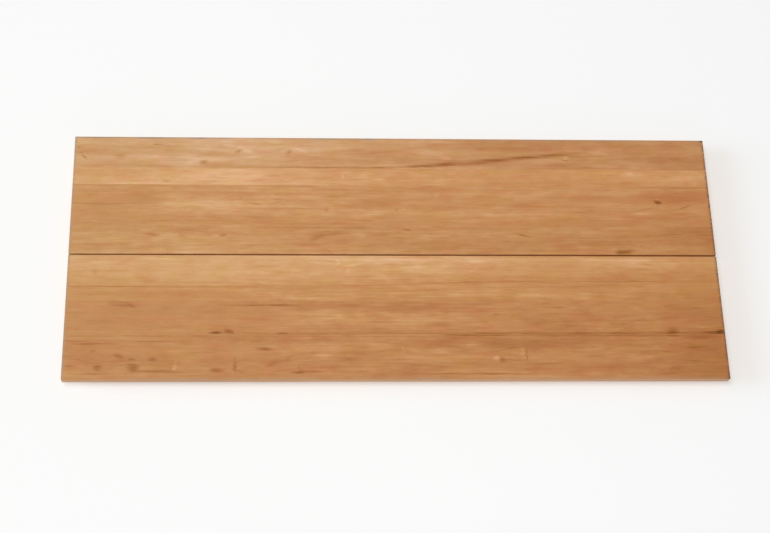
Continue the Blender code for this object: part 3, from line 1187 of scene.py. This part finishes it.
def threaded_screw(head_radius, length):
    """A screw with its head's seat at the origin, its tip up and its drive down."""
    stations = [(-HEAD_HEIGHT, TIP_RADIUS), (-HEAD_HEIGHT, head_radius * HEAD_FLAT)]
    for step in range(1, HEAD_STEPS + 1):
        turn = math.pi / 2 * step / HEAD_STEPS
        radius = head_radius * (HEAD_FLAT + (1 - HEAD_FLAT) * math.sin(turn))
        stations.append((-HEAD_HEIGHT + HEAD_DOME * (1 - math.cos(turn)), radius))
    stations += [(-HEAD_EDGE, head_radius), (0.0, head_radius - HEAD_EDGE)]
    stations += [(0.0, SHANK_RADIUS), (PLAIN_SHANK, SHANK_RADIUS)]
    rises = np.arange(PLAIN_SHANK + THREAD_LENGTH_STEP, length - THREAD_END, THREAD_LENGTH_STEP)
    points = []
    for z, radius in stations + [(rise, None) for rise in rises] + [(length, TIP_RADIUS)]:
        for step in range(THREAD_TURN_STEPS):
            turn = 2 * math.pi * step / THREAD_TURN_STEPS
            reach = radius
            if radius is None:
                crest = abs(((z / THREAD_PITCH - step / THREAD_TURN_STEPS) % 1.0) * 2 - 1)
                tip = min(1.0, (length - z) / TIP_LENGTH)
                reach = (SHANK_RADIUS - THREAD_DEPTH * (1 - crest ** 2)) * tip + TIP_RADIUS
            points.append((reach * math.cos(turn), reach * math.sin(turn), z))
    count = THREAD_TURN_STEPS
    last = len(points) - count
    head_end = tuple(reversed(range(count)))
    tip_end = tuple(range(last, last + count))
    mesh = bpy.data.meshes.new("threaded_screw")
    mesh.from_pydata(points, [], [head_end, tip_end, *wall_faces(count, len(points) // count)])
    blank = placed("screw_blank", mesh)
    finished = cut_out(blank, [drive_cutter(0.0), drive_cutter(math.pi / 2)])
    bpy.data.objects.remove(blank, do_unlink=True)
    finished.shade_smooth()
    finished.set_sharp_from_angle(angle=SCREW_SHARP)
    return finished


def zinc_plate():
    """Zinc plating, duller in soft clouds, with a fine grain."""
    made = bpy.data.materials.new("zinc_plate")
    made.use_nodes = True
    tree = made.node_tree
    shader = tree.nodes["Principled BSDF"]
    where = tree.nodes.new("ShaderNodeTexCoord")
    place = Shade(tree, where.outputs["Object"])
    cloud = place.noise((600.0, 600.0, 600.0), 3.0)
    spangle = place.noise((2600.0, 2600.0, 2600.0), 1.0)
    plate = {0: cloud.eased(-0.3, 0.5), 6: linear(ZINC), 7: linear(DULL_ZINC)}
    colour = cloud.node("ShaderNodeMix", {"data_type": "RGBA"}, plate, out=2)
    rough = ZINC_ROUGHNESS + cloud * 0.16 + spangle * 0.06
    relief = {"Height": spangle, "Strength": SPANGLE_STRENGTH, "Distance": SPANGLE_DEPTH}
    normal = spangle.node("ShaderNodeBump", None, relief)
    shader.inputs["Metallic"].default_value = 1.0
    tree.links.new(colour.socket, shader.inputs["Base Color"])
    tree.links.new(rough.socket, shader.inputs["Roughness"])
    tree.links.new(normal.socket, shader.inputs["Normal"])
    return made


screw_low, screw_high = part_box("left_batten_screw_1")
head_radius = (screw_high.x - screw_low.x) / 2
screw_form = threaded_screw(head_radius, screw_high.z - screw_low.z - HEAD_HEIGHT)
screw_form.materials.append(zinc_plate())
for side in ("left", "middle", "right"):
    for number in range(1, SCREWS_PER_BATTEN + 1):
        node = f"{side}_batten_screw_{number}"
        screw_low, screw_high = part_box(node)
        screw = placed(f"{node}_threaded", screw_form)
        centre = (screw_low + screw_high) / 2
        screw.location = (centre.x, centre.y, screw_low.z + HEAD_HEIGHT)
        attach(screw, "root")
        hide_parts(node)


# The studio: a pale floor that glows a little, as a light table does, so that shadows stay faint,
# under a pale sky. A large soft lamp hangs high above, a little to the left, with a weak one in
# front, and a low window light from the left casts the faint warm shadow on the right.

FLOOR_SIZE = 16.0
FLOOR_GLOW = 0.46
FLOOR_GLOW_COLOUR = (1.0, 0.96, 0.91)
FLOOR_COLOUR = (0.56, 0.577, 0.595)
FLOOR_ROUGHNESS = 0.9
SKY_STRENGTH = 0.305
SKY_COLOUR = (1.0, 0.96, 0.92)
WINDOW_COLOUR = (0.60, 0.85, 1.0)
WINDOW_STRENGTH = 2.35
WINDOW_HEIGHT = math.radians(18)
WINDOW_WIDTH = math.radians(34)
LAMP_COLOUR = (1.0, 0.93, 0.88)
LAMPS = (
    ("key_lamp", (-1.9, -0.5, 8.0), 3.0, 294.0),
    ("front_lamp", (-0.3, -4.5, 1.6), 2.6, 17.0),
)

floor_body = bmesh.new()
bmesh.ops.create_grid(floor_body, x_segments=1, y_segments=1, size=FLOOR_SIZE)
floor = set_down(floor_body, "studio_floor")
floor_finish = bpy.data.materials.new("pale_floor")
floor_finish.use_nodes = True
floor_shader = floor_finish.node_tree.nodes["Principled BSDF"]
floor_shader.inputs["Base Color"].default_value = (*FLOOR_COLOUR, 1.0)
floor_shader.inputs["Roughness"].default_value = FLOOR_ROUGHNESS
floor_shader.inputs["Specular IOR Level"].default_value = 0.0
floor_shader.inputs["Emission Color"].default_value = (*FLOOR_GLOW_COLOUR, 1.0)
floor_shader.inputs["Emission Strength"].default_value = FLOOR_GLOW
floor.data.materials.append(floor_finish)

sky = bpy.data.worlds.new("studio_sky")
sky.use_nodes = True
sky_shader = sky.node_tree.nodes["Background"]
sky_shader.inputs["Color"].default_value = (*SKY_COLOUR, 1.0)
sky_shader.inputs["Strength"].default_value = SKY_STRENGTH
bpy.context.scene.world = sky

for name, spot, size, power in LAMPS:
    lamp = bpy.data.lights.new(name, "AREA")
    lamp.shape = "SQUARE"
    lamp.size = size
    lamp.energy = power
    lamp.color = LAMP_COLOUR
    holder = placed(name, lamp)
    holder.location = spot
    aim = (cad_low + cad_high) / 2 - holder.location
    holder.rotation_mode = "QUATERNION"
    holder.rotation_quaternion = aim.to_track_quat("-Z", "Y")

window_light = bpy.data.lights.new("window_light", "SUN")
window_light.energy = WINDOW_STRENGTH
window_light.color = WINDOW_COLOUR
window_light.angle = WINDOW_WIDTH
window = placed("window_light", window_light)
window.rotation_euler = (0.0, WINDOW_HEIGHT - math.pi / 2, 0.0)
window.visible_glossy = False


# The camera stands in front of the top and high above it, a little to the left of its middle. Its
# lens, turn and small shift bring the four corners of the top to their places in the photograph.

CAMERA_PLACE = (-0.3222, -1.5181, 3.7575)
CAMERA_TURN = (21.821, -2.679, -0.928)
PHOTO_WIDTH = 770
FOCAL_LENGTH_PIXELS = 1450
SENSOR_WIDTH = 36.0
SIDE_SHIFT = 0.0442

eye = bpy.data.cameras.new("camera")
eye.sensor_width = SENSOR_WIDTH
eye.lens = FOCAL_LENGTH_PIXELS / PHOTO_WIDTH * SENSOR_WIDTH
eye.shift_x = SIDE_SHIFT
camera = placed("camera", eye)
camera.location = CAMERA_PLACE
camera.rotation_euler = [math.radians(turn) for turn in CAMERA_TURN]
bpy.context.scene.camera = camera
bpy.context.scene.view_settings.view_transform = "Standard"
